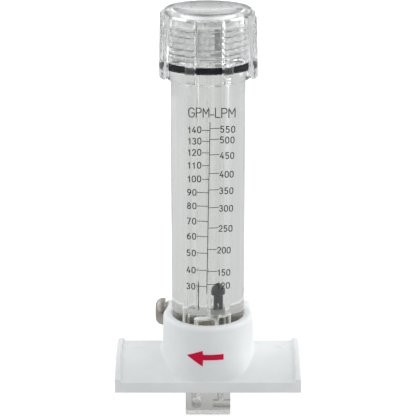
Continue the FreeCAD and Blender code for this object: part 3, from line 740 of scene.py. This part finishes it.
def make_stud():
    o = copy_cad("stem_stud", "stem_stud_threaded")
    g = thread_cutter("cut_m4", 2.9, 1.96, 1.56, -4.4, 14.8, 0.7, 40, 8)
    g.data.transform(Matrix.Translation((INSERT_X * S, 0, 0)))
    boolean(o, g, "DIFFERENCE")
    clean(o)
    shade(o, math.radians(34))
    dress(o, M_STEEL)
    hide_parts("stem_stud")
    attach(o, "housing")
    return o


bpy.context.scene.cycles.max_bounces = 48
bpy.context.scene.cycles.transmission_bounces = 48
bpy.context.scene.cycles.transparent_max_bounces = 16
bpy.context.scene.cycles.glossy_bounces = 8
bpy.context.scene.cycles.diffuse_bounces = 14
bpy.context.scene.cycles.sample_clamp_indirect = 8.0

make_body()
make_cap()
make_seal()
make_scale()
make_arrow()
make_screw()
make_stud()

for node, m in (("saddle", M_WHITE), ("pitot_stem", M_STEM), ("body_insert", M_BRASS),
                ("impact_seal", M_RUBBER), ("static_seal", M_RUBBER), ("stem_seal", M_RUBBER),
                ("pipe_gasket", M_GASKET), ("retaining_nut", M_STEEL),
                ("float_seat", M_SEAT), ("float", M_FLOAT), ("float_stop", M_SEAT)):
    dress(N[node], m)

# ================================================================ floor, light and camera
FLOOR_Z = -31.6
FLOOR_GLOW = 0.155


def make_floor():
    r = 6000.0
    verts = [(r * math.cos(2 * math.pi * i / 96), r * math.sin(2 * math.pi * i / 96), FLOOR_Z) for i in range(96)]
    o = link("floor", verts, [tuple(range(96))], smooth=False)
    m, nt, b = mat("floor_pale")
    v = obj_coords(nt)
    nt.links.new(ramp(nt, noise(nt, v, 3.0, 3.0), [(0.3, (0.50, 0.50, 0.50, 1)), (0.7, (0.52, 0.52, 0.52, 1))]),
                 b.inputs["Base Color"])
    b.inputs["Roughness"].default_value = 0.9
    b.inputs["Specular IOR Level"].default_value = 0.1
    b.inputs["Emission Color"].default_value = (1, 1, 1, 1)
    # seen directly it is a white sweep; the object sees it dimmer
    lp = nt.nodes.new("ShaderNodeLightPath")
    mx = nt.nodes.new("ShaderNodeMix")
    mx.name = "k_floor"
    mx.inputs[2].default_value = FLOOR_GLOW
    mx.inputs[3].default_value = 0.78
    nt.links.new(lp.outputs["Is Camera Ray"], mx.inputs[0])
    nt.links.new(mx.outputs[0], b.inputs["Emission Strength"])
    dress(o, m)


# brightness of the studio by direction
SKY = {"all": 0.0, "up": 0.44, "right": 1.27, "left": 1.34, "back": 0.74, "front": 0.0}
SKY_TINT = (0.975, 0.99, 1.0, 1)


def make_world():
    w = bpy.data.worlds.new("studio")
    bpy.context.scene.world = w
    w.use_nodes = True
    nt = w.node_tree
    bg = nt.nodes["Background"]
    tc = nt.nodes.new("ShaderNodeTexCoord")
    sep = nt.nodes.new("ShaderNodeSeparateXYZ")
    nt.links.new(tc.outputs["Generated"], sep.inputs[0])

    def op(kind, a, b, name=None):
        n = nt.nodes.new("ShaderNodeMath")
        n.operation = kind
        for i, v in enumerate((a, b)):
            if isinstance(v, (int, float)):
                n.inputs[i].default_value = v
            else:
                nt.links.new(v, n.inputs[i])
        if name:
            n.name = name
        return n.outputs[0]
    total = op("ADD", SKY["all"], 0.0, "k_all")
    for key, axis, sign in (("up", 2, 1), ("right", 0, 1), ("left", 0, -1), ("back", 1, 1), ("front", 1, -1)):
        d = op("MAXIMUM", op("MULTIPLY", sep.outputs[axis], sign), 0.0)
        total = op("ADD", total, op("MULTIPLY", d, SKY[key], "k_" + key))
    # dimmer towards the horizon, where it meets the floor
    fade = nt.nodes.new("ShaderNodeMapRange")
    fade.interpolation_type = "SMOOTHSTEP"
    fade.inputs["From Min"].default_value = 0.0
    fade.inputs["From Max"].default_value = 0.40
    fade.inputs["To Min"].default_value = 0.58
    fade.inputs["To Max"].default_value = 1.0
    nt.links.new(sep.outputs[2], fade.inputs["Value"])
    total = op("MULTIPLY", total, fade.outputs["Result"])
    # the backdrop itself is white
    lp = nt.nodes.new("ShaderNodeLightPath")
    mix = nt.nodes.new("ShaderNodeMix")
    mix.data_type = "RGBA"
    nt.links.new(lp.outputs["Is Camera Ray"], mix.inputs["Factor"])
    tint = nt.nodes.new("ShaderNodeMix")
    tint.data_type = "RGBA"
    tint.blend_type = "MULTIPLY"
    tint.inputs["Factor"].default_value = 1.0
    tint.inputs[6].default_value = SKY_TINT
    nt.links.new(total, tint.inputs[7])
    nt.links.new(tint.outputs[2], mix.inputs[6])
    mix.inputs[7].default_value = (1, 1, 1, 1)
    nt.links.new(mix.outputs[2], bg.inputs["Color"])
    bg.inputs["Strength"].default_value = 1.0


def area(name, loc, target, size, power, color=(1, 1, 1)):
    d = bpy.data.lights.new(name, "AREA")
    d.shape = "RECTANGLE"
    d.size, d.size_y = size
    d.energy = power
    d.color = color
    o = bpy.data.objects.new(name, d)
    bpy.context.scene.collection.objects.link(o)
    o.location = loc
    o.rotation_euler = (Vector(target) - Vector(loc)).to_track_quat("-Z", "Y").to_euler()
    return o


make_floor()
make_world()
area("right_low", (1.0, 0.1, 0.3), (0, 0, 0.06), (0.3, 0.8), 2.5)

cam = bpy.data.cameras.new("camera")
cam.sensor_width = 36.0
cam.sensor_fit = "HORIZONTAL"
cam.lens = 132.2
cam.clip_start = 0.01
cam.clip_end = 50.0
co = bpy.data.objects.new("camera", cam)
bpy.context.scene.collection.objects.link(co)
co.location = (0.0, -0.630, 0.26776 + DZ * S)
co.rotation_euler = (math.radians(90 - 17.864), 0, 0)
bpy.context.scene.camera = co

vs = bpy.context.scene.view_settings
vs.view_transform = "Standard"
vs.look = "None"
vs.exposure = 0.0
vs.gamma = 1.0
